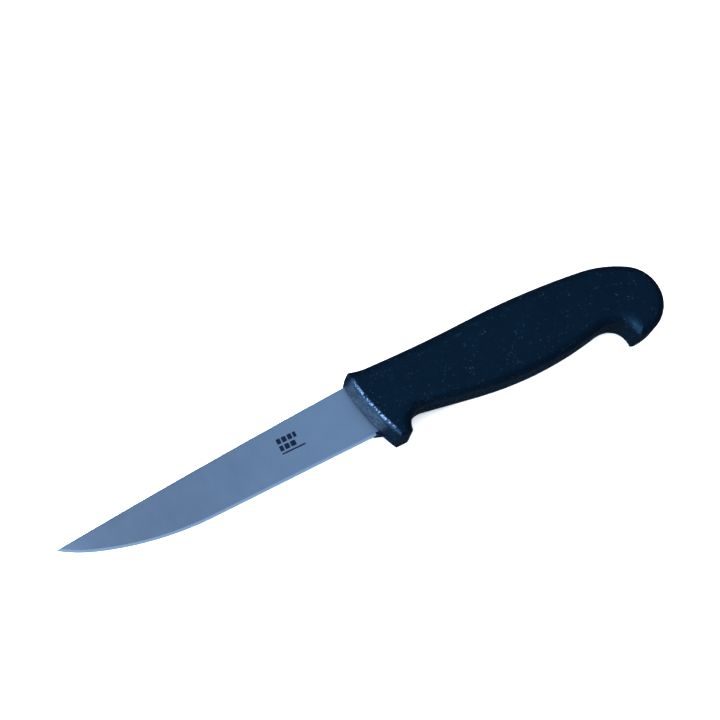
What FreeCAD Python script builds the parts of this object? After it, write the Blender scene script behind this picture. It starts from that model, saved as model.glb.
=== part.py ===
"""Boning knife: a narrow ground blade with a hidden tang, a moulded handle and a printed mark.

The knife is drawn lying on its side. X runs from the tip to the butt, Y from the cutting edge to the spine
and Z across the thickness. Drawing starts at the guard, on the middle plane of the blade, and the finished
pieces are then moved together so that the origin is under the middle of the knife.
"""
import FreeCAD, Part
import Sketcher
import math
import os
from FreeCAD import Placement, Rotation, Vector

SIZES = {
    # overall
    "blade_length": 127.0,       # from the guard datum to the tip
    "blade_height": 23.4,        # edge to spine at the guard
    "blade_thickness": 1.8,
    "handle_thickness": 19.0,
    # cutting edge
    "edge_heel_y": -11.0,        # height of the edge line at the guard datum
    "edge_drop": 0.95,           # how much lower the edge is where the belly starts
    # places and radii of the edge's sweep, as shares of the blade's length
    "belly_start": 0.545,
    "belly_change": 0.898,       # where the belly tightens towards the tip
    "belly_radius": 0.984,
    "tip_radius": 0.433,
    # spine and grind
    "spine_radius": 4000.0,
    "edge_half": 0.03,           # half the thickness left on the very edge
    "bevel_width": 1.1,
    "bevel_half": 0.16,          # half the thickness at the top of the bevel
    "spine_relief": 0.4,         # how far above the spine the ground faces would reach the full thickness
    "grind_end": 4.0,            # the grind stops here, inside the handle
    "notch_start": 0.1,
    "notch_length": 2.6,
    "notch_rise": 1.2,
    # tang
    "tang_root": 6.0,            # how far the full blade height runs into the handle
    "tang_length": 88.0,
    "tang_top": 8.0,
    "tang_foot": -4.5,
    "tang_taper": 1.5,
    "tang_hole": 6.0,
    "tang_hole_first": 30.0,
    "tang_hole_pitch": 38.0,
    # handle, top side
    "palm_x": 67.0,
    "palm_top": 14.4,
    "palm_radius": 344.0,
    "dip_x": 27.7,
    "dip_radius": 560.0,
    "flare_x": 8.5,
    "flare_radius": 25.0,
    "corner_radius": 3.6,
    # handle, butt and hook
    "butt_shoulder_radius": 48.6,
    "butt_x": 116.5,
    "butt_y": -7.3,
    "butt_radius": 15.4,
    "heel_x": 111.6,
    "heel_radius": 40.0,
    "beak_radius": 3.0,
    "hook_x": 103.3,
    "hook_radius": 13.1,
    "throat_radius": 7.7,
    "throat_x": 104.8,
    # handle, belly, waist and guard
    "belly_x": 70.5,
    "belly_foot": -15.95,
    "swell_radius": 150.0,
    "waist_x": 20.2,
    "waist_y": -17.0,
    "waist_radius": 7.6,
    "guard_foot": -17.2,
    "guard_corner": 2.0,
    "nose_x": 82.1,
    "nose_y": 18.0,
    "nose_radius": 85.0,
    # edges of the handle
    "edge_round": 4.5,
    "guard_round": 2.0,
    "nose_land": 1.9,            # half the flat width of the nose, where the blade comes out
    "nose_setback": 1.9,
    "ridge_radius": 2.0,         # rounding between the sloped nose and each side
    "fade_height": 0.5,          # where the slope leaves the top corner, as a share of its radius
    "fade_radius": 12.0,         # curve on which it then runs out
    "heel_lip": 1.4,             # how far the plastic reaches out under the heel of the blade
    "heel_lip_depth": 3.0,       # how deep that lip is where it meets the tang's root
    "heel_lip_width": 1.6,
    # printed mark
    "mark_x": -31.0,
    "mark_y": 1.4,
    "mark_width": 10.0,
    "mark_bar": 2.2,
    "mark_line": 0.6,
    "mark_gap": 0.75,
    "ink_film": 0.03,
    # working allowances
    "overshoot": 3.0,            # how far a cutter stands outside the piece
    "cutter_gap": 0.01,          # keeps a cutter off the faces that it leaves alone
    "press_in": 0.005,           # how far the ink reaches into the steel before it is trimmed
    "nose_run_out": 6.0,         # how far the top cutter runs on in front of the guard datum
    "beak_run_out": 9.0,         # how far the belly cutter runs on below the guard's foot
}

# Height of each printed row and its length as a share of the mark's width, from the top.
MARK_ROWS = (("mark_bar", 0.82), ("mark_bar", 0.68), ("mark_line", 1.0))
SHORTEST_RUN = 0.01              # circles closer than this along a path are taken to touch


class Size:
    """A number together with the expression that gives it from the sheet."""

    def __init__(self, value, text=None):
        self.value = value
        self.text = text if text is not None else repr(float(value))

    @staticmethod
    def of(other):
        return other if isinstance(other, Size) else Size(other)

    def join(self, other, sign, value):
        return Size(value, "(%s %s %s)" % (self.text, sign, Size.of(other).text))

    def __add__(self, other):
        return self.join(other, "+", self.value + Size.of(other).value)

    def __sub__(self, other):
        return self.join(other, "-", self.value - Size.of(other).value)

    def __mul__(self, other):
        return self.join(other, "*", self.value * Size.of(other).value)

    def __truediv__(self, other):
        return self.join(other, "/", self.value / Size.of(other).value)

    def __rsub__(self, other):
        return Size.of(other) - self

    def __neg__(self):
        return 0.0 - self

    def root(self):
        return Size(math.sqrt(self.value), "sqrt(%s)" % self.text)

    def slant(self):
        """Angle in degrees of a slope that has this rise for a run of one."""
        return Size(math.degrees(math.atan(self.value)), "atan(%s)" % self.text)


def make_sheet(doc):
    """Write every driving size into the sheet and return them by name."""
    sheet = doc.addObject("Spreadsheet::Sheet", "sizes")
    named = {}
    for row, (alias, value) in enumerate(SIZES.items(), 1):
        sheet.set("A%d" % row, alias)
        sheet.set("B%d" % row, repr(value))
        sheet.setAlias("B%d" % row, alias)
        named[alias] = Size(value, "sizes." + alias)
    doc.recompute()
    return named


# ---------------------------------------------------------------- plane geometry

class Round:
    """A circle that a path follows: turn is 1 anticlockwise and -1 clockwise."""

    def __init__(self, x, y, radius, turn, pin_x=None, pin_y=None):
        self.centre = Vector(x, y, 0)
        self.radius = radius
        self.turn = turn
        self.pins = (pin_x, pin_y)

    def signed(self):
        return self.turn * self.radius.value


def circle_meet(first, first_reach, second, second_reach, side):
    """Point at two given distances from two points, left (1) or right (-1) of the line between them."""
    span = second - first
    along = (span.Length ** 2 + first_reach ** 2 - second_reach ** 2) / (2 * span.Length)
    across = math.sqrt(first_reach ** 2 - along ** 2)
    unit = span / span.Length
    return first + unit * along + Vector(-unit.y, unit.x, 0) * across * side


def beside(other, x, radius, turn, side):
    """Circle that touches another, its centre at x and above (1) or below (-1) the other's centre."""
    reach = other.signed() - turn * radius.value
    run = other.centre.x - x.value
    return Round(x.value, other.centre.y + side * math.sqrt(reach ** 2 - run ** 2), radius, turn, x)


def in_front(other, y, radius):
    """Clockwise circle that touches another, its centre at y and on the blade's side of the other's."""
    reach = other.signed() + radius.value
    rise = y.value - other.centre.y
    return Round(other.centre.x - math.sqrt(reach ** 2 - rise ** 2), y.value, radius, -1, None, y)


def between(before, after, radius):
    """Clockwise circle that touches two others."""
    first, second = (abs(other.signed() + radius.value) for other in (before, after))
    centre = circle_meet(before.centre, first, after.centre, second, 1)
    return Round(centre.x, centre.y, radius, -1)


def joint(before, after):
    """Points where a path leaves one circle and meets the next: one point when the circles touch."""
    span = after.centre - before.centre
    lift = (after.signed() - before.signed()) / span.Length
    lift = max(-1.0, min(1.0, lift))
    heading = math.atan2(span.y, span.x) - math.asin(lift)
    left = Vector(-math.sin(heading), math.cos(heading), 0)
    return before.centre - left * before.signed(), after.centre - left * after.signed()


def arc_of(round_, start, end):
    """Arc along a circle between two points, as Sketcher stores it: always anticlockwise."""
    from_start = start - round_.centre
    from_end = end - round_.centre
    angles = [math.atan2(from_start.y, from_start.x), math.atan2(from_end.y, from_end.x)]
    if round_.turn < 0:
        angles.reverse()
    circle = Part.Circle(round_.centre, Vector(0, 0, 1), round_.radius.value)
    return Part.ArcOfCircle(circle, angles[0], angles[1])


# ---------------------------------------------------------------- sketches

def plane_of(body, role):
    return [item for item in body.Origin.OriginFeatures if item.Role == role][0]


def new_sketch(body, name, role, offset=(None, None, None), tilt=None):
    """Sketch on one of the body's origin planes, moved by sizes along the plane's own axes."""
    sketch = body.newObject("Sketcher::SketchObject", name)
    sketch.AttachmentSupport = [(plane_of(body, role), "")]
    sketch.MapMode = "FlatFace"
    if tilt is not None:
        sketch.AttachmentOffset = Placement(Vector(0, 0, 0), Rotation(Vector(1, 0, 0), tilt.value))
        sketch.setExpression("AttachmentOffset.Rotation.Angle", tilt.text)
    for axis, size in zip("xyz", offset):
        if size is not None:
            sketch.setExpression("AttachmentOffset.Base." + axis, size.text)
    return sketch


def bind(sketch, constraint, size):
    index = sketch.addConstraint(constraint)
    sketch.setExpression("Constraints[%d]" % index, size.text)


def pin(sketch, item, point, x=None, y=None):
    """Hold a point of a sketch item at sizes measured from the sketch origin."""
    if x is not None:
        bind(sketch, Sketcher.Constraint("DistanceX", -1, 1, item, point, x.value), x)
    if y is not None:
        bind(sketch, Sketcher.Constraint("DistanceY", -1, 1, item, point, y.value), y)


def line(start, end):
    return Part.LineSegment(start, end)


def polygon(sketch, corners):
    """Closed run of straight lines through corners whose two coordinates are sizes."""
    spots = [Vector(x.value, y.value, 0) for x, y in corners]
    ids = [sketch.addGeometry(line(spots[k], spots[(k + 1) % len(spots)]), False) for k in range(len(spots))]
    for k, item in enumerate(ids):
        sketch.addConstraint(Sketcher.Constraint("Coincident", item, 2, ids[(k + 1) % len(ids)], 1))
    for item, (x, y) in zip(ids, corners):
        pin(sketch, item, 1, x, y)


def close_loop(sketch, links):
    """Join each item to the next; a link is (item, point it starts at, point it ends at)."""
    for (one, _, leave), (two, meet, _) in zip(links, links[1:] + links[:1]):
        sketch.addConstraint(Sketcher.Constraint("Coincident", one, leave, two, meet))


def smooth_path(sketch, rounds, ends=None):
    """Tangent arcs along a row of circles, with a straight run where two circles stand apart.

    ends holds the two free ends as (point, pin_x, pin_y), or is None for a closed path."""
    closed = ends is None
    count = len(rounds)
    joints = [joint(rounds[k], rounds[(k + 1) % count]) for k in range(count if closed else count - 1)]
    items = []
    for k, round_ in enumerate(rounds):
        start = joints[k - 1][1] if closed or k else ends[0][0]
        end = joints[k][0] if closed or k < count - 1 else ends[1][0]
        item = sketch.addGeometry(arc_of(round_, start, end), False)
        bind(sketch, Sketcher.Constraint("Radius", item, round_.radius.value), round_.radius)
        points = (1, 2) if round_.turn > 0 else (2, 1)
        items.append((item,) + points)
        if k < len(joints) and (joints[k][1] - joints[k][0]).Length > SHORTEST_RUN:
            items.append((sketch.addGeometry(line(*joints[k]), False), 1, 2))
        pin(sketch, item, 3, *round_.pins)
    pairs = list(zip(items, items[1:]))
    if closed:
        pairs.append((items[-1], items[0]))
    for (one, _, leave), (two, meet, _) in pairs:
        sketch.addConstraint(Sketcher.Constraint("Tangent", one, leave, two, meet))
    if not closed:
        pin(sketch, items[0][0], items[0][1], *ends[0][1:])
        pin(sketch, items[-1][0], items[-1][2], *ends[1][1:])
    return items


# ---------------------------------------------------------------- features

def new_body(doc, name):
    return doc.addObject("PartDesign::Body", name)


def add_pad(body, name, sketch, length, midplane):
    pad = body.newObject("PartDesign::Pad", name)
    pad.Profile = sketch
    pad.Midplane = midplane
    pad.setExpression("Length", length.text)
    return pad


def both_ways(reach):
    """Length of a feature that reaches this far to each side of its sketch."""
    return reach * 2


def add_cut(body, kind, name, sketch):
    cut = body.newObject("PartDesign::" + kind, name)
    cut.Profile = sketch
    return cut


def add_pipe_cut(body, name, profile, path):
    """Cut the profile away all along the path, keeping it upright across the thickness."""
    pipe = add_cut(body, "SubtractivePipe", name, profile)
    pipe.Spine = (path, ["Edge%d" % (k + 1) for k in range(path.GeometryCount)])
    pipe.Mode = "Binormal"
    pipe.Binormal = Vector(0, 0, 1)
    return pipe


def check_cut(doc, body, volume_before):
    """Recompute and make sure that the last cut took something away."""
    doc.recompute()
    if body.Shape.Volume >= volume_before:
        raise RuntimeError(body.Label + ": a cut took nothing away")


# ---------------------------------------------------------------- handle

def top_rounds(s):
    """Circles of the handle's upper side, from the nose to the inside of the beak's heel."""
    palm = Round(s["palm_x"].value, s["palm_top"].value - s["palm_radius"].value, s["palm_radius"], -1,
                 s["palm_x"], s["palm_top"] - s["palm_radius"])
    dip = beside(palm, s["dip_x"], s["dip_radius"], 1, 1)
    flare = beside(dip, s["flare_x"], s["flare_radius"], 1, -1)
    nose = Round(s["nose_x"].value, s["nose_y"].value, s["nose_radius"], -1, s["nose_x"], s["nose_y"])
    butt = Round(s["butt_x"].value, s["butt_y"].value, s["butt_radius"], -1, s["butt_x"], s["butt_y"])
    return {"nose": nose, "corner": between(nose, flare, s["corner_radius"]), "flare": flare, "dip": dip,
            "palm": palm, "shoulder": between(palm, butt, s["butt_shoulder_radius"]), "butt": butt,
            "heel": beside(butt, s["heel_x"], s["heel_radius"], -1, 1)}


def foot_rounds(s, nose, heel):
    """Circles of the handle's lower side, from the beak to the front of the guard."""
    swell_y = s["belly_foot"] + s["swell_radius"]
    swell = Round(s["belly_x"].value, swell_y.value, s["swell_radius"], -1, s["belly_x"], swell_y)
    hook = beside(swell, s["hook_x"], s["hook_radius"], 1, -1)
    throat = beside(hook, s["throat_x"], s["throat_radius"], 1, 1)
    waist = Round(s["waist_x"].value, s["waist_y"].value, s["waist_radius"], 1, s["waist_x"], s["waist_y"])
    guard_y = s["guard_foot"] + s["guard_corner"]
    return {"beak": between(heel, throat, s["beak_radius"]), "throat": throat, "hook": hook, "swell": swell,
            "waist": waist, "guard_back": in_front(waist, guard_y, s["guard_corner"]),
            "guard_front": in_front(nose, guard_y, s["guard_corner"])}


def handle_rounds(s):
    """Circles that the side view of the handle follows, clockwise from the nose and in that order."""
    top = top_rounds(s)
    return {**top, **foot_rounds(s, top["nose"], top["heel"])}


def edge_cutter(body, name, s, place, wall, inward):
    """Outline of a cutter that rounds both edges of the handle where its wall is at the given height."""
    half = s["handle_thickness"] / 2
    gap = s["cutter_gap"]
    radius = s["edge_round"]
    side = Size(1.0 if inward < 0 else -1.0)
    sketch = new_sketch(body, name, "YZ_Plane", (None, None, place))
    deep = wall - side * (radius - gap)
    face = wall + side * gap
    outer = wall + side * s["overshoot"]
    start = half - radius + gap
    top = half + gap
    lid = half + s["overshoot"]
    spots = [(deep, top), (deep, lid), (outer, lid), (outer, -lid), (deep, -lid), (deep, -top),
             (face, -start), (face, start)]
    points = [Vector(x.value, y.value, 0) for x, y in spots]
    ids = [sketch.addGeometry(line(points[k], points[k + 1]), False) for k in range(5)]
    lower = Round(deep.value, -start.value, radius, -1 if inward > 0 else 1)
    upper = Round(deep.value, start.value, radius, -1 if inward > 0 else 1)
    low_id = sketch.addGeometry(arc_of(lower, points[5], points[6]), False)
    wall_id = sketch.addGeometry(line(points[6], points[7]), False)
    high_id = sketch.addGeometry(arc_of(upper, points[7], points[0]), False)
    first, last = (2, 1) if lower.turn < 0 else (1, 2)
    links = [(item, 1, 2) for item in ids] + [(low_id, first, last), (wall_id, 1, 2), (high_id, first, last)]
    close_loop(sketch, links)
    for item, (x, y) in zip(ids, spots):
        pin(sketch, item, 1, x, y)
    pin(sketch, ids[-1], 2, deep, -top)
    pin(sketch, wall_id, 1, face, -start)
    pin(sketch, wall_id, 2, face, start)
    pin(sketch, low_id, 3, deep)
    pin(sketch, high_id, 3, deep)
    return sketch


def nose_cutter(body, s, corner):
    """Outline of a cutter that slopes the nose back to each side and rounds the ridge where they meet.

    It stands at the height of the top corner's centre, where the front of the outline runs straight up.
    """
    half = s["handle_thickness"] / 2
    gap = s["cutter_gap"]
    out = s["overshoot"]
    corner_x, corner_y = corner.pins
    front = corner_x - s["corner_radius"]
    rise = half - s["nose_land"]
    slant = (rise * rise + s["nose_setback"] * s["nose_setback"]).root()
    tangent = s["ridge_radius"] * rise / (slant + s["nose_setback"])
    ridge = front + s["nose_setback"]
    inner = ridge + tangent
    low_x = ridge - s["nose_setback"] * tangent / slant
    low_z = half + gap - rise * tangent / slant
    top = half + gap
    lid = half + out
    sketch = new_sketch(body, "nose_profile", "XZ_Plane", (None, None, -corner_y))
    spots = [(inner, top), (inner, lid), (front - out, lid), (front - out, -lid), (inner, -lid),
             (inner, -top), (low_x, -low_z), (front - gap, -s["nose_land"]), (front - gap, s["nose_land"]),
             (low_x, low_z)]
    points = [Vector(x.value, y.value, 0) for x, y in spots]
    near = [sketch.addGeometry(line(points[k], points[k + 1]), False) for k in range(5)]
    far = [sketch.addGeometry(line(points[k], points[k + 1]), False) for k in range(6, 9)]
    centre_z = top.value - s["ridge_radius"].value
    lower = Round(inner.value, -centre_z, s["ridge_radius"], -1)
    upper = Round(inner.value, centre_z, s["ridge_radius"], -1)
    low_id = sketch.addGeometry(arc_of(lower, points[5], points[6]), False)
    high_id = sketch.addGeometry(arc_of(upper, points[9], points[0]), False)
    links = [(item, 1, 2) for item in near] + [(low_id, 2, 1)]
    links += [(item, 1, 2) for item in far] + [(high_id, 2, 1)]
    close_loop(sketch, links)
    for item, (x, y) in zip(near + far, spots[:5] + spots[6:9]):
        pin(sketch, item, 1, x, y)
    pin(sketch, near[-1], 2, inner, -top)
    pin(sketch, far[-1], 2, low_x, low_z)
    pin(sketch, low_id, 3, inner)
    pin(sketch, high_id, 3, inner)
    return sketch


def guard_cutter(body, s):
    """Cutter along X that rounds the lower edges of the guard."""
    half = s["handle_thickness"] / 2
    radius = s["guard_round"]
    gap = s["cutter_gap"]
    foot = s["guard_foot"]
    sketch = new_sketch(body, "guard_profile", "YZ_Plane")
    for sign in (1.0, -1.0):
        side = Size(sign)
        top = side * (half + gap)
        start = side * (half - radius + gap)
        lid = side * (half + s["overshoot"])
        deep = foot + radius - gap
        face = foot - gap
        below = foot - s["overshoot"]
        spots = [(deep, top), (deep, lid), (below, lid), (below, start), (face, start)]
        points = [Vector(x.value, y.value, 0) for x, y in spots]
        ids = [sketch.addGeometry(line(points[k], points[k + 1]), False) for k in range(4)]
        curve = Round(deep.value, start.value, radius, -1 if sign > 0 else 1)
        arc_id = sketch.addGeometry(arc_of(curve, points[4], points[0]), False)
        first, last = (2, 1) if sign > 0 else (1, 2)
        links = [(item, 1, 2) for item in ids] + [(arc_id, first, last)]
        close_loop(sketch, links)
        for item, (x, y) in zip(ids, spots):
            pin(sketch, item, 1, x, y)
        pin(sketch, ids[-1], 2, face, start)
        pin(sketch, arc_id, 3, deep)
    return sketch


def on_circle(round_, x=None, y=None, side=1):
    """Point of a circle at the given x or y, on the positive or negative side."""
    centre = round_.centre
    radius = round_.radius.value
    if x is not None:
        return Vector(x, centre.y + side * math.sqrt(radius ** 2 - (x - centre.x) ** 2), 0)
    return Vector(centre.x + side * math.sqrt(radius ** 2 - (y - centre.y) ** 2), y, 0)


def dip_low_point(s):
    """Sizes of the lowest point of the handle's top, between the flare and the palm."""
    reach = s["palm_radius"] + s["dip_radius"]
    run = s["palm_x"] - s["dip_x"]
    rise = (reach * reach - run * run).root()
    return s["dip_x"], s["palm_top"] - s["palm_radius"] + rise - s["dip_radius"]


def reverse(round_):
    """The same circle followed the other way."""
    return Round(round_.centre.x, round_.centre.y, round_.radius, -round_.turn, *round_.pins)


def round_along(doc, body, name, profile, rounds, ends):
    """Carry an edge cutter along a tangent path of circles."""
    path = new_sketch(body, name + "_path", "XY_Plane")
    smooth_path(path, rounds, ends)
    volume = body.Shape.Volume
    add_pipe_cut(body, name, profile, path)
    check_cut(doc, body, volume)


def round_edges(doc, body, s, rounds):
    """Round both long edges of the handle, from the top of the dip and from the foot of the belly."""
    dip, flare, heel = rounds["dip"], rounds["flare"], rounds["heel"]
    throat, swell, waist = rounds["throat"], rounds["swell"], rounds["waist"]
    out = s["overshoot"]
    past_nose = -s["nose_run_out"]
    past_beak = s["throat_x"] + out
    under_guard = s["guard_foot"] - out

    foot_start = (Vector(s["belly_x"].value, s["belly_foot"].value, 0), s["belly_x"])
    foot_profile = edge_cutter(body, "belly_profile", s, s["belly_x"], s["belly_foot"], 1)
    under_beak = s["guard_foot"] - s["beak_run_out"]
    throat_end = on_circle(throat, y=under_beak.value, side=1)
    round_along(doc, body, "belly_back_round", foot_profile,
                [reverse(swell), reverse(rounds["hook"]), reverse(throat)],
                (foot_start, (throat_end, None, under_beak)))
    waist_end = on_circle(waist, y=under_guard.value, side=-1)
    round_along(doc, body, "belly_front_round", foot_profile, [swell, waist],
                (foot_start, (waist_end, None, under_guard)))

    dip_x, dip_y = dip_low_point(s)
    top_start = (Vector(dip_x.value, dip_y.value, 0), dip_x)
    top_profile = edge_cutter(body, "spine_profile", s, dip_x, dip_y, -1)
    round_along(doc, body, "spine_back_round", top_profile,
                [dip, rounds["palm"], rounds["shoulder"], rounds["butt"], heel],
                (top_start, (on_circle(heel, x=past_beak.value, side=-1), past_beak)))
    round_along(doc, body, "spine_front_round", top_profile, [reverse(dip), reverse(flare)],
                (top_start, (on_circle(flare, x=past_nose.value, side=-1), past_nose)))


def measured_corner(outline, item, corner):
    """The top corner's circle, with its centre read from the solved outline by two driven distances."""
    sizes = []
    for axis, value in (("X", corner.centre.x), ("Y", corner.centre.y)):
        index = outline.addConstraint(Sketcher.Constraint("Distance" + axis, -1, 1, item, 3, value))
        outline.setDriving(index, False)
        outline.renameConstraint(index, "corner_" + axis.lower())
        sizes.append(Size(value, "(side_outline.Constraints.corner_%s / 1 mm)" % axis.lower()))
    return Round(corner.centre.x, corner.centre.y, corner.radius, corner.turn, *sizes)


def slope_nose(doc, body, s, nose, corner):
    """Slope the front back to each side, down past the guard and up over the top corner until it runs out."""
    profile = nose_cutter(body, s, corner)
    corner_x, corner_y = corner.pins
    start = (Vector(corner_x.value - s["corner_radius"].value, corner_y.value, 0), None, corner_y)
    under_guard = s["guard_foot"] - s["overshoot"]
    nose_end = on_circle(nose, y=under_guard.value, side=-1)
    held = Round(corner.centre.x, corner.centre.y, corner.radius, corner.turn, None, corner_y)
    round_along(doc, body, "nose_slope", profile, [reverse(held), reverse(nose)],
                (start, (nose_end, None, under_guard)))
    reach = s["corner_radius"] + s["fade_radius"]
    fade_x = corner_x - reach * (1.0 - s["fade_height"] * s["fade_height"]).root()
    fade_y = corner_y + reach * s["fade_height"]
    fade = Round(fade_x.value, fade_y.value, s["fade_radius"], 1, fade_x)
    fade_end = on_circle(fade, y=fade_y.value - s["corner_radius"].value, side=1)
    round_along(doc, body, "nose_fade", profile, [corner, fade],
                (start, (fade_end, None, fade_y - s["corner_radius"])))


def round_guard(doc, body, s):
    """Round the lower edges of the guard."""
    volume = body.Shape.Volume
    pocket = add_cut(body, "Pocket", "guard_round_cut", guard_cutter(body, s))
    pocket.Midplane = True
    pocket.setExpression("Length", both_ways(s["waist_x"]).text)
    check_cut(doc, body, volume)


def add_heel_lip(body, s):
    """Thin moulded lip that fills the notch and reaches out under the heel of the blade."""
    heel = s["notch_start"]
    edge_y = edge_height(s, heel)
    root = s["tang_root"]
    sketch = new_sketch(body, "heel_lip_outline", "XY_Plane")
    polygon(sketch, [(-s["heel_lip"], edge_height(s, -s["heel_lip"])), (root, edge_y - s["heel_lip_depth"]),
                     (root, edge_y + s["notch_rise"]), (heel, edge_y + s["notch_rise"]), (heel, edge_y)])
    add_pad(body, "heel_lip_pad", sketch, s["heel_lip_width"], True)


def make_handle_body(doc, s):
    """Moulded grip without its tang pocket: side view, rounded edges, sloped nose."""
    body = new_body(doc, "handle_grip")
    rounds = handle_rounds(s)
    outline = new_sketch(body, "side_outline", "XY_Plane")
    items = smooth_path(outline, list(rounds.values()))
    corner = measured_corner(outline, items[1][0], rounds["corner"])
    add_pad(body, "grip_pad", outline, s["handle_thickness"], True)
    doc.recompute()
    round_edges(doc, body, s, rounds)
    slope_nose(doc, body, s, rounds["nose"], corner)
    round_guard(doc, body, s)
    add_heel_lip(body, s)
    return body


# ---------------------------------------------------------------- blade

def along_blade(s, share):
    """A place or radius that grows with the blade."""
    return s["blade_length"] * s[share]


def edge_height(s, x):
    """Height of the straight cutting edge at a place along the blade."""
    return s["edge_heel_y"] + s["edge_drop"] * x / along_blade(s, "belly_start")


def edge_run(sketch, s, start, start_y, end_x):
    """Cutting edge from the heel to the tip: a straight run and two tangent arcs that sweep up."""
    turn_x = -along_blade(s, "belly_start")
    turn_y = edge_height(s, turn_x)
    change_x = -along_blade(s, "belly_change")
    belly_radius = along_blade(s, "belly_radius")
    tip_radius = along_blade(s, "tip_radius")
    turn_in = Vector(turn_x.value, turn_y.value, 0)
    heading = math.atan2(-s["edge_drop"].value, turn_x.value)
    inward = Vector(math.sin(heading), -math.cos(heading), 0)
    belly_at = turn_in + inward * belly_radius.value
    belly = Round(belly_at.x, belly_at.y, belly_radius, -1)
    change = on_circle(belly, x=change_x.value, side=-1)
    tip_at = change + (belly.centre - change) * (tip_radius.value / belly_radius.value)
    tip = Round(tip_at.x, tip_at.y, tip_radius, -1)
    end = on_circle(tip, x=end_x.value, side=-1)
    straight = sketch.addGeometry(line(Vector(start.value, start_y.value, 0), turn_in), False)
    belly_id = sketch.addGeometry(arc_of(belly, turn_in, change), False)
    tip_id = sketch.addGeometry(arc_of(tip, change, end), False)
    sketch.addConstraint(Sketcher.Constraint("Tangent", straight, 2, belly_id, 2))
    sketch.addConstraint(Sketcher.Constraint("Tangent", belly_id, 1, tip_id, 2))
    bind(sketch, Sketcher.Constraint("Radius", belly_id, belly.radius.value), belly.radius)
    bind(sketch, Sketcher.Constraint("Radius", tip_id, tip.radius.value), tip.radius)
    pin(sketch, straight, 1, start, start_y)
    pin(sketch, straight, 2, turn_x, turn_y)
    pin(sketch, belly_id, 1, change_x)
    pin(sketch, tip_id, 1, end_x)
    return straight, tip_id, end


def blade_outline(body, s):
    """Side view of the stamped sheet: edge, tip, spine, tang and the notch at the heel."""
    sketch = new_sketch(body, "blade_outline", "XY_Plane")
    heel = s["notch_start"]
    straight, tip_id, tip = edge_run(sketch, s, heel, edge_height(s, heel), -s["blade_length"])
    root = s["tang_root"]
    notch_y = edge_height(s, heel) + s["notch_rise"]
    corners = [(root, s["edge_heel_y"] + s["blade_height"]), (root, s["tang_top"]),
               (s["tang_length"], s["tang_top"] - s["tang_taper"]),
               (s["tang_length"], s["tang_foot"] + s["tang_taper"]), (root, s["tang_foot"]), (root, notch_y),
               (heel + s["notch_length"], notch_y), (heel, edge_height(s, heel))]
    points = [Vector(x.value, y.value, 0) for x, y in corners]
    chord = points[0] - tip
    across = Vector(chord.y, -chord.x, 0) / chord.Length
    radius = s["spine_radius"]
    sag = math.sqrt(radius.value ** 2 - chord.Length ** 2 / 4)
    spine_at = tip + chord / 2 + across * sag
    spine = Round(spine_at.x, spine_at.y, radius, -1)
    spine_id = sketch.addGeometry(arc_of(spine, tip, points[0]), False)
    bind(sketch, Sketcher.Constraint("Radius", spine_id, radius.value), radius)
    sketch.addConstraint(Sketcher.Constraint("Coincident", tip_id, 1, spine_id, 2))
    ids = [sketch.addGeometry(line(points[k], points[k + 1]), False) for k in range(len(points) - 1)]
    sketch.addConstraint(Sketcher.Constraint("Coincident", spine_id, 1, ids[0], 1))
    for one, two in zip(ids, ids[1:]):
        sketch.addConstraint(Sketcher.Constraint("Coincident", one, 2, two, 1))
    sketch.addConstraint(Sketcher.Constraint("Coincident", ids[-1], 2, straight, 1))
    for item, (x, y) in zip(ids, corners):
        pin(sketch, item, 1, x, y)
    return sketch


def grind_top(s):
    """Distance from the edge at which the ground face would reach the full thickness."""
    return s["blade_height"] + s["spine_relief"]


def grind_profile(body, s):
    """Cutter round the edge: a flat grind up to the spine and a steeper bevel at the very edge."""
    start = s["grind_end"]
    edge = edge_height(s, start)
    face = edge - s["cutter_gap"]
    shoulder = edge + s["bevel_width"]
    top = edge + grind_top(s)
    outside = edge - s["overshoot"]
    half = s["blade_thickness"] / 2
    lid = half + s["overshoot"]
    sketch = new_sketch(body, "grind_profile", "YZ_Plane", (None, None, start))
    polygon(sketch, [(face, s["edge_half"]), (shoulder, s["bevel_half"]), (top, half), (top, lid),
                     (outside, lid), (outside, -lid), (top, -lid), (top, -half),
                     (shoulder, -s["bevel_half"]), (face, -s["edge_half"])])
    return sketch


def make_blade(doc, s):
    """Ground blade and its tang, cut from one sheet."""
    body = new_body(doc, "blade")
    add_pad(body, "sheet", blade_outline(body, s), s["blade_thickness"], True)
    doc.recompute()
    volume = body.Shape.Volume
    profile = grind_profile(body, s)
    path = new_sketch(body, "edge_path", "XY_Plane")
    edge_run(path, s, s["grind_end"], edge_height(s, s["grind_end"]), -s["blade_length"] - s["overshoot"])
    add_pipe_cut(body, "flat_grind", profile, path)
    check_cut(doc, body, volume)
    volume = body.Shape.Volume
    holes = new_sketch(body, "tang_hole_sketch", "XY_Plane")
    middle = (s["tang_top"] + s["tang_foot"]) / 2
    for along in (s["tang_hole_first"], s["tang_hole_first"] + s["tang_hole_pitch"]):
        circle = Part.Circle(Vector(along.value, middle.value, 0), Vector(0, 0, 1), s["tang_hole"].value / 2)
        item = holes.addGeometry(circle, False)
        bind(holes, Sketcher.Constraint("Diameter", item, s["tang_hole"].value), s["tang_hole"])
        pin(holes, item, 3, along, middle)
    pocket = add_cut(body, "Pocket", "tang_holes", holes)
    pocket.Midplane = True
    pocket.setExpression("Length", both_ways(s["blade_thickness"]).text)
    check_cut(doc, body, volume)
    return body


# ---------------------------------------------------------------- printed mark

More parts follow.
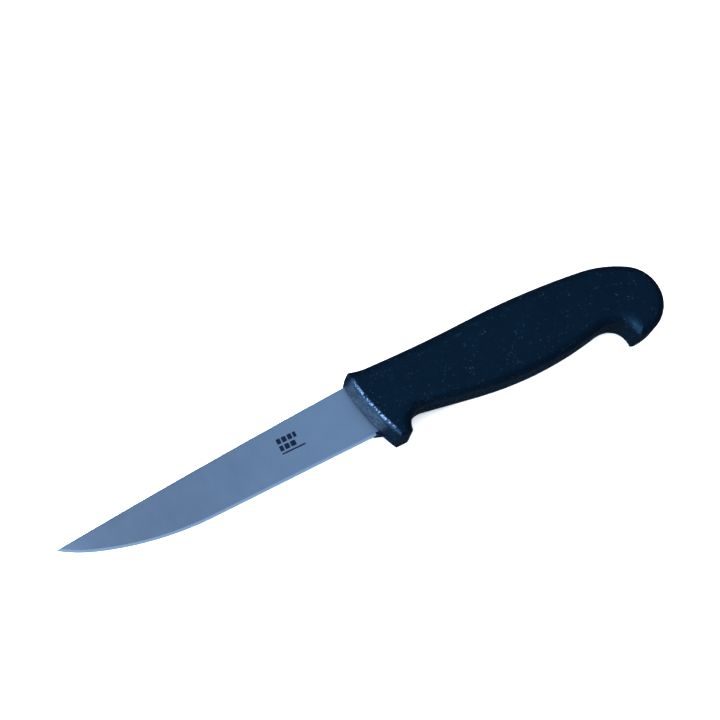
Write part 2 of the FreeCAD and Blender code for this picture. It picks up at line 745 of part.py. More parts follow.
def make_ink(doc, s):
    """Rows of plain bars, a film thick, lying on the ground face of the blade."""
    body = new_body(doc, "ink")
    body.AllowCompound = True
    rise = s["blade_thickness"] / 2 - s["bevel_half"]
    slope = rise / (grind_top(s) - s["bevel_width"])
    above_shoulder = s["mark_y"] - edge_height(s, s["mark_x"]) - s["bevel_width"]
    face = s["bevel_half"] + above_shoulder * slope - s["press_in"]
    sketch = new_sketch(body, "mark_sketch", "XY_Plane", (s["mark_x"], s["mark_y"], face), slope.slant())
    high = (s["mark_bar"] * 2 + s["mark_line"]) / 2 + s["mark_gap"]
    left = -s["mark_width"] / 2
    for height, share in MARK_ROWS:
        right = left + s["mark_width"] * share
        low = high - s[height]
        polygon(sketch, [(left, low), (right, low), (right, high), (left, high)])
        high = low - s["mark_gap"]
    add_pad(body, "ink_pad", sketch, s["ink_film"] + s["press_in"], False)
    return body


# ---------------------------------------------------------------- whole knife

def trimmed(doc, label, base, tool):
    """One piece with the room that another takes cut out of it."""
    cut = doc.addObject("Part::Cut", label)
    cut.Base = base
    cut.Tool = tool
    return cut


def seat(doc, bodies, pieces):
    """Move the bodies so that the origin is under the middle of the knife, lying on its side."""
    boxes = [piece.Shape.optimalBoundingBox() for piece in pieces]
    middle_x = (min(box.XMin for box in boxes) + max(box.XMax for box in boxes)) / 2
    middle_y = (min(box.YMin for box in boxes) + max(box.YMax for box in boxes)) / 2
    floor = min(box.ZMin for box in boxes)
    for body in bodies:
        body.Placement = Placement(Vector(-middle_x, -middle_y, -floor), Rotation())
    doc.recompute()


def check_document(doc, pieces):
    for item in doc.Objects:
        if "Invalid" in item.State or "Error" in item.State:
            raise RuntimeError(item.Label + " did not recompute")
    for piece in pieces:
        if piece.Shape.isNull() or not piece.Shape.isValid():
            raise RuntimeError(piece.Label + " has no sound shape")


def main():
    doc = FreeCAD.newDocument("boning_knife")
    s = make_sheet(doc)
    blade = make_blade(doc, s)
    grip = make_handle_body(doc, s)
    ink = make_ink(doc, s)
    doc.recompute()
    handle = trimmed(doc, "handle", grip, blade)
    mark = trimmed(doc, "printed_mark", ink, blade)
    doc.recompute()
    pieces = [blade, handle, mark]
    seat(doc, [blade, grip, ink], pieces)
    check_document(doc, pieces)
    os.makedirs("parts", exist_ok=True)
    for piece in pieces:
        piece.Shape.exportStep("parts/%s.step" % piece.Label)


main()
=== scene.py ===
import math

import bpy
import numpy as np
from bpy.props import FloatProperty, FloatVectorProperty, PointerProperty
from bpy.types import Operator, Panel, PropertyGroup
from mathutils import Matrix, Vector


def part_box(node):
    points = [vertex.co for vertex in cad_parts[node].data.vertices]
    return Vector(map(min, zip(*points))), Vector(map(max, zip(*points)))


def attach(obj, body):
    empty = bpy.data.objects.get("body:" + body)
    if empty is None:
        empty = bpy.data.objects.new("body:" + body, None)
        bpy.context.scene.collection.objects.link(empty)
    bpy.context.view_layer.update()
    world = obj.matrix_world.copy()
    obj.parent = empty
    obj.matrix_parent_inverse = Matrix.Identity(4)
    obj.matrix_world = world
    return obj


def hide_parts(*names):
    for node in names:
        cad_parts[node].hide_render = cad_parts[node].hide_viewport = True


bl_info = {
    "name": "Boning Knife",
    "version": (1, 0, 0),
    "blender": (4, 5, 0),
    "location": "3D View > Sidebar > Knife",
    "description": "Gives a boning knife its ground steel, grained grip, printed mark and studio",
    "category": "Object",
}

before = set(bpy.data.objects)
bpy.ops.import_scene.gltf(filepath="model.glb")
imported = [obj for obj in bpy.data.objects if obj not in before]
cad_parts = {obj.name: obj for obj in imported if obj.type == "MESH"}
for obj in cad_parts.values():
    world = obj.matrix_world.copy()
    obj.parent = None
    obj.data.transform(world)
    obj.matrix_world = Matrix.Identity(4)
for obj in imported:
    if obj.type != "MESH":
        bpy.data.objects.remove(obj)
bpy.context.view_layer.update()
MM = 0.001
BLADE_LOW, BLADE_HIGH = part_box("blade")
GRIP_LOW, GRIP_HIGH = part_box("handle")
MARK_LOW, MARK_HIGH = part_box("printed_mark")
MID_Z = (GRIP_LOW.z + GRIP_HIGH.z) / 2

# Height of each printed row, and its bars as shares of the mark's width.
MARK_ROWS = (("bar", (0.17, 0.19, 0.18, 0.13)), ("bar", (0.16, 0.20, 0.22)), ("line", (1.0,)))

# Soft boxes: name, bearing and height in degrees, distance, width, height, power, colour, seen in gloss.
LIGHTS = (
    ("tip_box", 186.0, 26.0, 0.75, 0.30, 0.24, 22.0, (0.72, 0.84, 1.0), True),
    ("ceiling", 60.0, 80.0, 1.6, 3.0, 3.0, 122.0, (1.0, 0.98, 0.96), False),
)

# Colour that the plastic's gloss takes.
PLASTIC_TINT = (0.15, 0.54, 0.93, 1.0)

# Room light: the heights between which it brightens, its colours low and high, and how it brightens a little
# between two bearings towards the tip.
ROOM_RISE = (0.2, 0.95)
ROOM_LOW = (0.05, 0.09, 0.15)
ROOM_HIGH = (0.335, 0.495, 0.735)
ROOM_SIDE = (-0.2, 0.9)
SIDE_GAIN = 0.06

# Shares of the bevel's width between which it fades into the face.
BEVEL_FADE = (1.06, 0.88)

# The painted highlight along the guard's ridge: heights between which it fades in at the foot and out at the
# top, distances from the middle of the thickness, and places along the knife past which there is none.
HIGHLIGHT_FOOT = (-10.5 * MM, -6.5 * MM)
HIGHLIGHT_TOP = (16 * MM, 12 * MM)
HIGHLIGHT_OUTER = (6 * MM, 9 * MM)
HIGHLIGHT_FRONT = (20 * MM, 10 * MM)

# Sockets of a colour Mix node.
MIX_FACTOR, MIX_ONE, MIX_TWO, MIX_RESULT = 0, 6, 7, 2

SENSOR_WIDTH = 36.0              # millimetres
BAR_STEPS = 48                   # points round the outline of one printed bar


# ---------------------------------------------------------------- sizes and colours

class BladeFinish(PropertyGroup):
    """Sizes of the ground blade and the colours of its steel."""
    length: FloatProperty(
        name="Blade length", description="From the guard to the tip",
        default=127 * MM, unit="LENGTH")
    heel_drop: FloatProperty(
        name="Edge below the spine", description="Height of the blade at the guard",
        default=23.4 * MM, unit="LENGTH")
    edge_fall: FloatProperty(
        name="Edge fall", description="How much lower the edge is where the belly starts",
        default=0.95 * MM, unit="LENGTH")
    belly_start: FloatProperty(
        name="Belly start", description="Where the edge leaves the straight, from the guard",
        default=69.215 * MM, unit="LENGTH")
    belly_change: FloatProperty(
        name="Belly change", description="Where the belly tightens towards the tip, from the guard",
        default=114.046 * MM, unit="LENGTH")
    belly_radius: FloatProperty(
        name="Belly radius", description="Radius of the long sweep of the edge",
        default=124.968 * MM, unit="LENGTH")
    spine_radius: FloatProperty(
        name="Spine radius", description="Radius of the very flat arc of the spine",
        default=4.0, unit="LENGTH")
    root: FloatProperty(
        name="Root", description="How far the full height of the blade runs into the handle",
        default=6 * MM, unit="LENGTH")
    tip_radius: FloatProperty(
        name="Tip radius", description="Radius of the edge at the tip",
        default=54.991 * MM, unit="LENGTH")
    cloud: FloatProperty(
        name="Cloud size", description="Size of the faint clouds in the satin",
        default=9 * MM, unit="LENGTH")
    line_pitch: FloatProperty(
        name="Line pitch", description="Distance between the grinding lines",
        default=0.09 * MM, unit="LENGTH")
    line_length: FloatProperty(
        name="Line length", description="How far a grinding line runs",
        default=7 * MM, unit="LENGTH")
    hone_grain: FloatVectorProperty(
        name="Hone grain", description="Sizes of the scratches on the bevel", subtype="XYZ",
        unit="LENGTH", size=3, default=(0.16 * MM, 1.2 * MM, 2 * MM))
    spine_line: FloatProperty(
        name="Spine line", description="Width of the darker line along the spine",
        default=0.42 * MM, unit="LENGTH")
    bevel_width: FloatProperty(
        name="Bevel width", description="Width of the honed bevel along the edge",
        default=1.1 * MM, unit="LENGTH")
    face_colour: FloatVectorProperty(
        name="Face colour", description="Satin ground face", subtype="COLOR", size=3,
        min=0, max=1, default=(0.33, 0.40, 0.49))
    # The bevel is paler partly for its polish and partly as a painted reflection.
    bevel_colour_and_sheen: FloatVectorProperty(
        name="Bevel colour", description="Freshly honed steel", subtype="COLOR", size=3,
        min=0, max=1, default=(0.64, 0.72, 0.78))


class GripFinish(PropertyGroup):
    """Colour and grain of the moulded handle."""
    colour: FloatVectorProperty(
        name="Plastic colour", description="Navy black polypropylene", subtype="COLOR", size=3,
        min=0, max=1, default=(0.0003, 0.0014, 0.004))
    grain: FloatProperty(
        name="Grain size", description="Distance across one pit of the spark-eroded grain",
        default=0.55 * MM, unit="LENGTH")
    depth: FloatProperty(
        name="Grain depth", description="Depth of the pits", default=0.16 * MM, unit="LENGTH")
    # Glint colour paints bright dots into the plastic's colour, standing in for the sparkle of its grain.
    glint_colour: FloatVectorProperty(
        name="Fleck colour", description="Bright grains of the plastic", subtype="COLOR", size=3,
        min=0, max=1, default=(0.055, 0.11, 0.16))
    cloud: FloatProperty(
        name="Cloud size", description="Size of the clouds in the polish", default=14 * MM, unit="LENGTH")
    # The patches are where the painted glints crowd.
    patch: FloatProperty(
        name="Patch size", description="Size of the patches with more bright grains",
        default=5 * MM, unit="LENGTH")
    seam_width: FloatProperty(
        name="Seam width", description="Half the width of the mould parting line",
        default=0.16 * MM, unit="LENGTH")
    seam: FloatProperty(
        name="Seam height", description="Height of the mould parting line",
        default=0.06 * MM, unit="LENGTH")
    nose_centre: FloatVectorProperty(
        name="Nose centre", description="Centre of the guard's front arc, from the middle of the knife",
        subtype="XYZ", unit="LENGTH", size=2, default=(79.65 * MM, 22.0 * MM))
    ridge_radius: FloatProperty(
        name="Ridge arc", description="Radius of the line where the guard's front slope meets each side",
        default=82.25 * MM, unit="LENGTH")
    # The ridge width is half the width of the painted highlight band along that line.
    ridge_width: FloatProperty(
        name="Ridge width", description="Half the width of the rubbed band along that line",
        default=0.8 * MM, unit="LENGTH")
    # Painted highlight: the bright colour laid along the guard's ridge where light catches its rounding.
    ridge_highlight_colour: FloatVectorProperty(
        name="Rubbed colour", description="Scuffed grain on the guard's ridge", subtype="COLOR", size=3,
        min=0, max=1, default=(0.11, 0.165, 0.29))


class MarkShape(PropertyGroup):
    """The printed bars on the blade."""
    film: FloatProperty(
        name="Ink film", description="Thickness of the print", default=0.03 * MM, unit="LENGTH")
    bar: FloatProperty(
        name="Bar height", description="Height of the two upper rows", default=2.2 * MM, unit="LENGTH")
    line: FloatProperty(
        name="Line height", description="Height of the line under them", default=0.6 * MM, unit="LENGTH")
    row_gap: FloatProperty(
        name="Row gap", description="Space between two rows", default=0.75 * MM, unit="LENGTH")
    gap: FloatProperty(
        name="Gap", description="Space between two bars of a row", default=0.5 * MM, unit="LENGTH")
    squareness: FloatProperty(
        name="Squareness", description="Power of the bars' rounded outline", default=7.0)
    colour: FloatVectorProperty(
        name="Ink colour", description="Pad printing ink", subtype="COLOR", size=3,
        min=0, max=1, default=(0.002, 0.004, 0.012))


class StudioLook(PropertyGroup):
    """Camera, floor and lights."""
    distance: FloatProperty(
        name="Camera distance", description="From the lens to the point it looks at",
        default=0.5, unit="LENGTH")
    azimuth: FloatProperty(
        name="Azimuth", description="Camera's bearing round the knife",
        default=math.radians(-131.82), subtype="ANGLE")
    elevation: FloatProperty(
        name="Elevation", description="Camera's height angle",
        default=math.radians(70.0), subtype="ANGLE")
    roll: FloatProperty(
        name="Roll", description="Camera's turn about its own axis",
        default=math.radians(15.0), subtype="ANGLE")
    lens: FloatProperty(
        name="Lens", description="Focal length in millimetres on a 36 mm wide sensor", default=63.3)
    target: FloatVectorProperty(
        name="Target", description="Point the camera looks at", subtype="XYZ", unit="LENGTH", size=3,
        default=(6.2 * MM, 23.43 * MM, 9.5 * MM))
    floor_reach: FloatProperty(
        name="Floor reach", description="Half the width of the floor", default=4.0, unit="LENGTH")
    floor_colour: FloatVectorProperty(
        name="Floor colour", description="Plain pale floor", subtype="COLOR", size=3,
        min=0, max=1, default=(0.9, 0.91, 0.915))


# ---------------------------------------------------------------- shader maths

class Wire:
    """A socket that can be added, multiplied and compared like a number; each sum adds a Math node."""

    def __init__(self, tree, socket):
        self.tree = tree
        self.socket = socket

    def maths(self, operation, *values):
        inputs = dict(enumerate(values))
        return self.tree.add("ShaderNodeMath", {"operation": operation}, inputs).out()

    def __add__(self, other):
        return self.maths("ADD", self, other)

    def __radd__(self, other):
        return self.maths("ADD", other, self)

    def __sub__(self, other):
        return self.maths("SUBTRACT", self, other)

    def __rsub__(self, other):
        return self.maths("SUBTRACT", other, self)

    def __mul__(self, other):
        return self.maths("MULTIPLY", self, other)

    def __rmul__(self, other):
        return self.maths("MULTIPLY", other, self)

    def __truediv__(self, other):
        return self.maths("DIVIDE", self, other)

    def __pow__(self, other):
        return self.maths("POWER", self, other)

    def __neg__(self):
        return self.maths("MULTIPLY", self, -1.0)

    def __abs__(self):
        return self.maths("ABSOLUTE", self)

    def root(self):
        return self.maths("SQRT", self)

    def over(self, level):
        """One where the value is above a level, and nought elsewhere."""
        return self.maths("GREATER_THAN", self, level)

    def rise(self, low, high):
        """A soft step that goes from nought at low to one at high, whichever is larger."""
        settings = {"interpolation_type": "SMOOTHSTEP"}
        inputs = {"Value": self, "From Min": low, "From Max": high, "To Min": 0.0, "To Max": 1.0}
        if low > high:
            inputs.update({"From Min": high, "From Max": low, "To Min": 1.0, "To Max": 0.0})
        return self.tree.add("ShaderNodeMapRange", settings, inputs).out("Result")


class Placed:
    """A node in a tree; out() gives one of its sockets as a Wire."""

    def __init__(self, tree, node):
        self.tree = tree
        self.node = node

    def out(self, name=0):
        return Wire(self.tree, self.node.outputs[name])


class Tree:
    """A node tree with one way to add a node, and the colour maths built on it."""

    def __init__(self, nodes):
        self.nodes = nodes

    def link(self, value, socket):
        """Feeds a socket: a Wire is linked, and a number or colour is set on it."""
        if isinstance(value, Wire):
            self.nodes.links.new(value.socket, socket)
        else:
            socket.default_value = value

    def add(self, kind, settings=None, inputs=None):
        """Adds any node: its settings first, then the values or links of its sockets."""
        node = self.nodes.nodes.new(kind)
        for key, value in (settings or {}).items():
            setattr(node, key, value)
        for key, value in (inputs or {}).items():
            self.link(value, node.inputs[key])
        return Placed(self, node)

    def blend(self, factor, one, two):
        """A colour between two colours."""
        colours = [c if isinstance(c, Wire) else (*c, 1.0) for c in (one, two)]
        inputs = {MIX_FACTOR: factor, MIX_ONE: colours[0], MIX_TWO: colours[1]}
        return self.add("ShaderNodeMix", {"data_type": "RGBA"}, inputs).out(MIX_RESULT)

    def scale(self, colour, factor):
        """A colour made brighter or darker by a factor."""
        vector = colour if isinstance(colour, Wire) else tuple(colour)
        inputs = {0: vector, "Scale": factor}
        return self.add("ShaderNodeVectorMath", {"operation": "SCALE"}, inputs).out()


class Shader(Tree):
    """A new material with its surface shader and its Object coordinates."""

    def __init__(self, name, **constants):
        self.material = bpy.data.materials.new(name)
        self.material.use_nodes = True
        super().__init__(self.material.node_tree)
        self.surface = self.nodes.nodes["Principled BSDF"]
        for socket, value in constants.items():
            self.surface.inputs[socket.replace("_", " ")].default_value = value
        self.place = self.add("ShaderNodeTexCoord").out("Object")
        axes = self.add("ShaderNodeSeparateXYZ", None, {"Vector": self.place})
        self.x, self.y, self.z = (axes.out(axis) for axis in "XYZ")

    def stretched(self, across, along, deep):
        """Object coordinates scaled so that one unit is the given length on each axis."""
        scale = (1 / across, 1 / along, 1 / deep)
        inputs = {"Vector": self.place, "Scale": scale}
        return self.add("ShaderNodeMapping", {"vector_type": "POINT"}, inputs).out()

    def noise(self, across, along=None, deep=None, detail=2.0, rough=0.5):
        """Soft cloudy noise from nought to one, with lumps of one size or of three along the axes."""
        vector = self.stretched(across, along or across, deep or across)
        inputs = {"Vector": vector, "Scale": 1.0, "Detail": detail, "Roughness": rough}
        return self.add("ShaderNodeTexNoise", None, inputs).out("Fac")

    def cells(self, size):
        """A Voronoi pattern with cells of a given size."""
        vector = self.stretched(size, size, size)
        return self.add("ShaderNodeTexVoronoi", None, {"Vector": vector, "Scale": 1.0})

    def chance(self, pattern, channel):
        """A random number from nought to one for each cell of a pattern."""
        return self.add("ShaderNodeSeparateColor", None, {"Color": pattern.out("Color")}).out(channel)

    def bump(self, height, distance, strength=1.0):
        """A normal that follows a height from nought to one, for relief of a given depth."""
        inputs = {"Height": height, "Distance": distance, "Strength": strength}
        return self.add("ShaderNodeBump", None, inputs).out("Normal")

    def feed(self, **wires):
        """Links what changes over the surface to the surface shader."""
        for socket, wire in wires.items():
            self.link(wire, self.surface.inputs[socket.replace("_", " ")])
        return self.material


# ---------------------------------------------------------------- mesh helpers

def new_piece(name, points, faces, material):
    """A closed mesh from an array of points and an array of faces, riding on the knife."""
    mesh = bpy.data.meshes.new(name)
    mesh.from_pydata(points.tolist(), [], faces)
    mesh.polygons.foreach_set("use_smooth", np.ones(len(faces), bool))
    mesh.materials.append(material)
    mesh.update()
    piece = bpy.data.objects.new(name, mesh)
    bpy.context.scene.collection.objects.link(piece)
    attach(piece, "root")
    return piece


class Side:
    """Side view of the blade, in metres: the joins and circle centres of its edge and of its spine."""

    def __init__(self, knife):
        self.knife = knife
        self.guard = np.array([BLADE_LOW.x + knife.length, BLADE_HIGH.y - knife.heel_drop])
        self.slope = knife.edge_fall / knife.belly_start
        up = np.array([-self.slope, 1.0]) / math.hypot(self.slope, 1.0)
        self.turn = self.guard - np.array([knife.belly_start, knife.edge_fall])
        self.belly = self.turn + up * knife.belly_radius
        self.change = self.below(self.belly, knife.belly_radius, self.guard[0] - knife.belly_change)
        self.tip_centre = self.change + (self.belly - self.change) * (knife.tip_radius / knife.belly_radius)
        self.tip = self.below(self.tip_centre, knife.tip_radius, BLADE_LOW.x)
        root = np.array([self.guard[0] + knife.root, BLADE_HIGH.y])
        half = (root - self.tip) / 2
        right = np.array([half[1], -half[0]]) / math.hypot(*half)
        self.spine = self.tip + half + right * math.sqrt(knife.spine_radius ** 2 - half @ half)

    @staticmethod
    def below(centre, radius, x):
        """The point of a circle under its centre at a place x: y = centre - sqrt(radius^2 - run^2)."""
        return np.array([x, centre[1] - math.sqrt(radius ** 2 - (x - centre[0]) ** 2)])

    @staticmethod
    def inside(centre, radius, x, y):
        """Distance of a wire place inside a circle: the radius less the distance to the centre."""
        return radius - ((x - centre[0]) ** 2 + (y - centre[1]) ** 2).root()

    def from_edge(self, x, y):
        """Distance of a wire place from the cutting edge.

        It is the height over the straight run near the guard, and the distance inside the belly's circle and
        then inside the tip's circle further out.
        """
        straight = y - self.guard[1] - (x - self.guard[0]) * self.slope
        belly = self.inside(self.belly, self.knife.belly_radius, x, y)
        tip = self.inside(self.tip_centre, self.knife.tip_radius, x, y)
        past_turn = (-x).over(-self.turn[0])
        past_change = (-x).over(-self.change[0])
        return straight + past_turn * (belly - straight) + past_change * (tip - belly)

    def from_spine(self, x, y):
        """Distance of a wire place from the spine, a very flat arc."""
        return self.inside(self.spine, self.knife.spine_radius, x, y)


# ---------------------------------------------------------------- materials

def ground_steel(finish):
    """Satin steel: fine lines across the blade, a honed bevel with a ragged top and a dark line at the spine.

    The satin is a little darker over the outer half and clears again at the very tip. The bevel's pale colour
    is partly its polish and partly a painted reflection.
    """
    steel = Shader("ground_steel", Metallic=1.0, IOR=2.5)
    side = Side(finish)
    drift = steel.noise(finish.cloud, detail=3.0)
    lines = steel.noise(finish.line_pitch, finish.line_length, finish.line_length, detail=3.0, rough=0.6)
    hone = steel.noise(*finish.hone_grain)
    from_edge = side.from_edge(steel.x, steel.y) + (drift - 0.5) * 0.25 * MM
    bevel = from_edge.rise(*(finish.bevel_width * share for share in BEVEL_FADE))
    spine = side.from_spine(steel.x, steel.y).rise(finish.spine_line, finish.spine_line * 0.29)
    outward = 1.0 - (-steel.x).rise(5 * MM, 105 * MM) * 0.28 + (-steel.x).rise(108 * MM, 130 * MM) * 0.12
    satin = (lines - 0.5) * 0.16 + (drift - 0.5) * 0.07 + outward
    face = steel.scale(finish.face_colour, satin - spine * 0.3)
    # Honed bevel colour: partly its polish, partly a painted reflection.
    honed = steel.scale(finish.bevel_colour_and_sheen, 0.92 + (hone - 0.5) * 0.16)
    rough = 0.36 + (lines - 0.5) * 0.12 + (drift - 0.5) * 0.06 - bevel * 0.12
    relief = lines * (1.0 - bevel) + hone * bevel
    return steel.feed(Base_Color=steel.blend(bevel, face, honed), Roughness=rough,
                      Normal=steel.bump(relief, 0.0012 * MM, 0.6))


def painted_ridge_highlight(grip, finish):
    """How much painted highlight the guard takes: one on the rounded line between its front slope and each
    side.

    The line is an arc about the nose's centre. The painted highlight fades out at both ends and towards the
    middle of the thickness.
    """
    x, y = finish.nose_centre
    off = abs(((grip.x - x) ** 2 + (grip.y - y) ** 2).root() - finish.ridge_radius)
    ends = grip.y.rise(*HIGHLIGHT_FOOT) * grip.y.rise(*HIGHLIGHT_TOP)
    outer = abs(grip.z - MID_Z).rise(*HIGHLIGHT_OUTER)
    front = grip.x.rise(*HIGHLIGHT_FRONT)
    return off.rise(finish.ridge_width, 0.0) * ends * outer * front


def grained_plastic(finish):
    """Moulded plastic: round pits and fine grit, cloudy polish, sparse painted glints that also gloss more,
    and a parting line.
    """
    grip = Shader("grained_plastic", IOR=1.46, Specular_IOR_Level=0.28, Specular_Tint=PLASTIC_TINT)
    pit = grip.cells(finish.grain)
    grit = grip.noise(finish.grain * 0.5, detail=2.0, rough=0.7)
    cloud = grip.noise(finish.cloud, detail=3.0)
    patch = grip.noise(finish.patch)
    facet = grip.chance(pit, "Green")
    speck = grip.cells(finish.grain * 0.75)
    chance = grip.chance(speck, "Red")
    # Painted glints: sparse bright dots of colour, which also gloss more.
    painted_glint = (chance + (patch - 0.5) * 0.2).rise(0.94, 1.03) * speck.out("Distance").rise(0.4, 0.15)
    seam = abs(grip.z - MID_Z).rise(finish.seam_width, finish.seam_width * 0.31)
    # Painted highlight along the guard's ridge, sparkling with the grains.
    ridge_highlight = painted_ridge_highlight(grip, finish)
    sparkling_ridge_highlight = ridge_highlight * (chance + (grit - 0.5) * 0.8).rise(0.3, 0.95)
    tone = 0.86 + (cloud - 0.5) * 0.5 + (grit - 0.5) * 0.5
    plain = grip.blend(painted_glint, grip.scale(finish.colour, tone), finish.glint_colour)
    colour = grip.blend(sparkling_ridge_highlight, plain, finish.ridge_highlight_colour)
    rough = 0.34 + facet * 0.32 + (cloud - 0.5) * 0.08 + (grit - 0.5) * 0.2 - painted_glint * 0.2
    relief = pit.out("Distance") * 0.5 + grit * 0.6 + seam * (finish.seam / finish.depth)
    return grip.feed(Base_Color=colour, Roughness=rough, Normal=grip.bump(relief, finish.depth))


def print_ink(look):
    """Pad printing ink: slightly uneven cover with a soft gloss."""
    ink = Shader("print_ink", IOR=1.5, Specular_IOR_Level=0.03)
    cover = ink.noise(0.35 * MM, detail=3.0)
    pinholes = ink.cells(0.3 * MM).out("Distance").rise(0.16, 0.06)
    colour = ink.scale(look.colour, 0.8 + cover * 0.5 + pinholes * 0.6)
    return ink.feed(Base_Color=colour, Roughness=0.42 + (cover - 0.5) * 0.25,
                    Normal=ink.bump(cover, 0.006 * MM, 0.5))


def plain_floor(look):
    """Matt pale paper with a faint mottle."""
    paper = Shader("plain_floor", Roughness=0.9)
    mottle = paper.noise(0.06, detail=2.0)
    return paper.feed(Base_Color=paper.scale(look.floor_colour, 0.99 + mottle * 0.02))


def give(node, material):
    """Puts a material in a CAD node's slot."""
    node.material_slots[0].material = material


# ---------------------------------------------------------------- printed mark

def ground_plane():
    """Height of the blade's ground face over a place, z = a + b x + c y, in metres.

    The tops of the CAD mark's bars lie on it, one film up, so it is the plane that fits the highest
    half of that node's vertices best.
    """
    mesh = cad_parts["printed_mark"].data
    points = np.empty(len(mesh.vertices) * 3, np.float32)
    mesh.vertices.foreach_get("co", points)
    points = points.reshape(-1, 3).astype(float)
    rows = np.column_stack([np.ones(len(points)), points[:, :2]])
    middle = np.linalg.lstsq(rows, points[:, 2], rcond=None)[0]
    tops = points[:, 2] > rows @ middle
    return np.linalg.lstsq(rows[tops], points[tops, 2], rcond=None)[0]


def bar_grid(low, high, look, plane):
    """A bar of ink as a grid of rings, from its lower left to its upper right corner.

    A ring's outline is a superellipse, |x / a|^n + |y / b|^n = 1, with half sizes a and b. The rings shrink
    towards the middle and the top rises to the full film within the outer tenth.
    """
    turn = np.linspace(0, 2 * math.pi, BAR_STEPS, endpoint=False)
    share = np.array([1.0, 1.0, 0.97, 0.9, 0.6, 0.02])
    lift = np.array([-0.5, 0.0, 0.6, 1.0, 1.0, 1.0])
    power = 2 / look.squareness
    wide = np.sign(np.cos(turn)) * np.abs(np.cos(turn)) ** power * (high[0] - low[0]) / 2
    tall = np.sign(np.sin(turn)) * np.abs(np.sin(turn)) ** power * (high[1] - low[1]) / 2
    x = (low[0] + high[0]) / 2 + np.outer(share, wide)
    y = (low[1] + high[1]) / 2 + np.outer(share, tall)
    steel = plane[0] + plane[1] * x + plane[2] * y
    return np.stack([x, y, steel + (lift[:, None] - 1.0) * look.film], axis=-1)


def closed_faces(rows, columns):
    """Faces of a grid that is closed across its columns, with one flat face at each end."""
    row, column = np.meshgrid(np.arange(rows - 1), np.arange(columns), indexing="ij")
    beside = (column + 1) % columns
    corners = (row * columns + column, row * columns + beside,
               (row + 1) * columns + beside, (row + 1) * columns + column)
    sides = np.stack(corners, axis=-1).reshape(-1, 4).tolist()
    ring = np.arange(columns)
    return sides + [ring[::-1].tolist(), (ring + (rows - 1) * columns).tolist()]


def print_bars(look):
    """Points and faces of every bar; the rows stand in the CAD mark's box, from its top left corner."""
    plane = ground_plane()
    width = MARK_HIGH.x - MARK_LOW.x
    high = MARK_HIGH.y
    points, faces, count = [], [], 0
    for height, shares in MARK_ROWS:
        low = high - getattr(look, height)
        left = MARK_LOW.x
        for share in shares:
            right = left + share * width
            grid = bar_grid((left, low), (right, high), look, plane)
            faces += [[count + corner for corner in face] for face in closed_faces(*grid.shape[:2])]
            points.append(grid.reshape(-1, 3))
            count += len(points[-1])
            left = right + look.gap
        high = low - look.row_gap
    return np.concatenate(points), faces


# ---------------------------------------------------------------- operators

class KNIFE_OT_ground_steel(Operator):
    """Gives the blade its satin ground faces and honed bevel"""
    bl_idname = "knife.ground_steel"
    bl_label = "Ground steel blade"

    def execute(self, context):
        give(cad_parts["blade"], ground_steel(context.scene.blade_finish))
        return {"FINISHED"}


class KNIFE_OT_grained_grip(Operator):
    """Gives the handle its grained navy plastic"""
    bl_idname = "knife.grained_grip"
    bl_label = "Grained plastic grip"

    def execute(self, context):
        give(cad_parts["handle"], grained_plastic(context.scene.grip_finish))
        return {"FINISHED"}


class KNIFE_OT_print_mark(Operator):
    """Prints the plain bars on the blade"""
    bl_idname = "knife.print_mark"
    bl_label = "Printed bars"

    def execute(self, context):
        look = context.scene.mark_shape
        points, faces = print_bars(look)
        piece = new_piece("print_bars", points, faces, print_ink(look))
        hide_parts("printed_mark")
        return {"FINISHED"}


class KNIFE_OT_studio(Operator):
    """Sets up the camera, the floor and the soft lights"""
    bl_idname = "knife.studio"
    bl_label = "Studio"

    def execute(self, context):
        look = context.scene.studio_look
        lay_floor(look)
        hang_lights()
        paint_world(context.scene)
        place_camera(context.scene, look)
        return {"FINISHED"}


# ---------------------------------------------------------------- studio

def lay_floor(look):
    """A wide level floor under the knife."""
    reach = look.floor_reach
    corners = np.array([[-1, -1, 0], [1, -1, 0], [1, 1, 0], [-1, 1, 0]], float) * reach
    mesh = bpy.data.meshes.new("floor")
    mesh.from_pydata(corners.tolist(), [], [[0, 1, 2, 3]])
    mesh.materials.append(plain_floor(look))
    floor = bpy.data.objects.new("floor", mesh)
    floor.visible_glossy = False
    bpy.context.scene.collection.objects.link(floor)


def bearing(azimuth, elevation):
    """Unit vector towards a bearing and a height angle."""
    level = math.cos(elevation)
    return Vector((level * math.cos(azimuth), level * math.sin(azimuth), math.sin(elevation)))


def hang_lights():
    """Soft boxes, each facing the middle of the knife; the ceiling one only lights matt surfaces."""
    middle = Vector((0, 0, MID_Z))
    for name, azimuth, elevation, distance, width, height, power, colour, glossy in LIGHTS:
        lamp = bpy.data.lights.new(name, "AREA")
        lamp.shape = "RECTANGLE"
        lamp.size, lamp.size_y = width, height
        lamp.energy = power
        lamp.color = colour
        holder = bpy.data.objects.new(name, lamp)
        toward = bearing(math.radians(azimuth), math.radians(elevation))
        turn = toward.to_track_quat("Z", "Y").to_matrix().to_4x4()
        holder.matrix_world = Matrix.Translation(middle + toward * distance) @ turn
        holder.visible_glossy = glossy
        bpy.context.scene.collection.objects.link(holder)


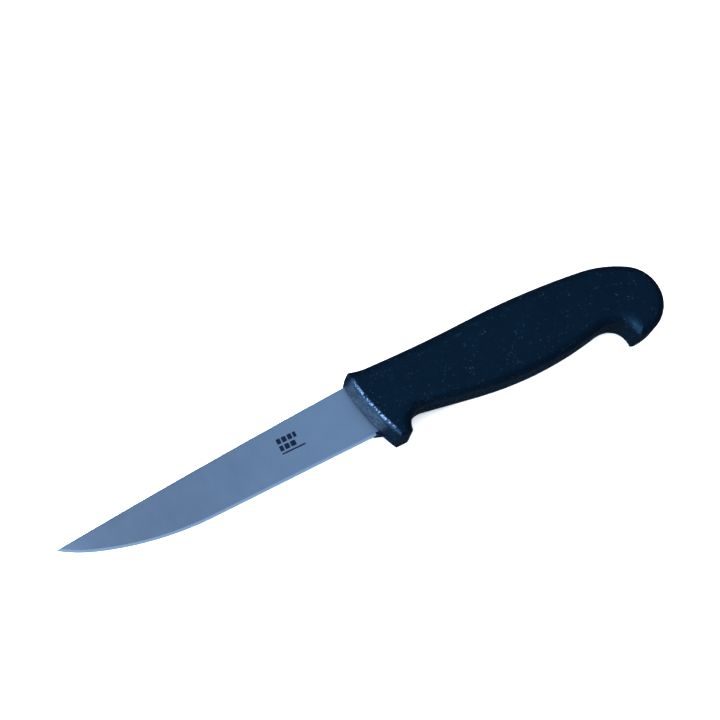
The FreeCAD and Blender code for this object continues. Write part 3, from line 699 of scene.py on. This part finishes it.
def paint_world(scene):
    """Dim blue room, brighter overhead and towards the tip, dark below."""
    world = bpy.data.worlds.new("room")
    world.use_nodes = True
    scene.world = world
    room = Tree(world.node_tree)
    toward = room.add("ShaderNodeTexCoord").out("Generated")
    axes = room.add("ShaderNodeSeparateXYZ", None, {"Vector": toward})
    height = axes.out("Z").rise(*ROOM_RISE)
    side = (-axes.out("X")).rise(*ROOM_SIDE)
    colour = room.blend(height, ROOM_LOW, ROOM_HIGH)
    background = world.node_tree.nodes["Background"]
    room.link(room.scale(colour, 1.0 + side * SIDE_GAIN), background.inputs["Color"])


def place_camera(scene, look):
    """Camera at its bearing from the point it looks at, then turned about its own axis."""
    lens = bpy.data.cameras.new("camera")
    lens.lens = look.lens
    lens.sensor_width = SENSOR_WIDTH
    camera = bpy.data.objects.new("camera", lens)
    toward = bearing(look.azimuth, look.elevation)
    turn = toward.to_track_quat("Z", "Y").to_matrix() @ Matrix.Rotation(look.roll, 3, "Z")
    place = Vector(look.target) + toward * look.distance
    camera.matrix_world = Matrix.Translation(place) @ turn.to_4x4()
    scene.collection.objects.link(camera)
    scene.camera = camera
    scene.view_settings.view_transform = "Standard"


# ---------------------------------------------------------------- panel and registration

class KNIFE_PT_panel(Panel):
    """Lists the pieces of the knife"""
    bl_label = "Boning knife"
    bl_space_type = "VIEW_3D"
    bl_region_type = "UI"
    bl_category = "Knife"

    def draw(self, context):
        for operator in OPERATORS:
            self.layout.operator(operator.bl_idname)
        for group in GROUPS:
            box = self.layout.box()
            sizes = getattr(context.scene, group)
            for name in sizes.bl_rna.properties.keys():
                if name not in ("rna_type", "name"):
                    box.prop(sizes, name)


GROUPS = {"blade_finish": BladeFinish, "grip_finish": GripFinish,
          "mark_shape": MarkShape, "studio_look": StudioLook}
OPERATORS = (KNIFE_OT_ground_steel, KNIFE_OT_grained_grip, KNIFE_OT_print_mark, KNIFE_OT_studio)


def register():
    for kind in (*GROUPS.values(), *OPERATORS, KNIFE_PT_panel):
        bpy.utils.register_class(kind)
    for name, kind in GROUPS.items():
        setattr(bpy.types.Scene, name, PointerProperty(type=kind))


def unregister():
    for name in GROUPS:
        delattr(bpy.types.Scene, name)
    for kind in (KNIFE_PT_panel, *reversed(OPERATORS), *reversed(GROUPS.values())):
        bpy.utils.unregister_class(kind)


def main():
    register()
    for operator in OPERATORS:
        area, name = operator.bl_idname.split(".")
        getattr(getattr(bpy.ops, area), name)()


if __name__ == "__main__":
    main()
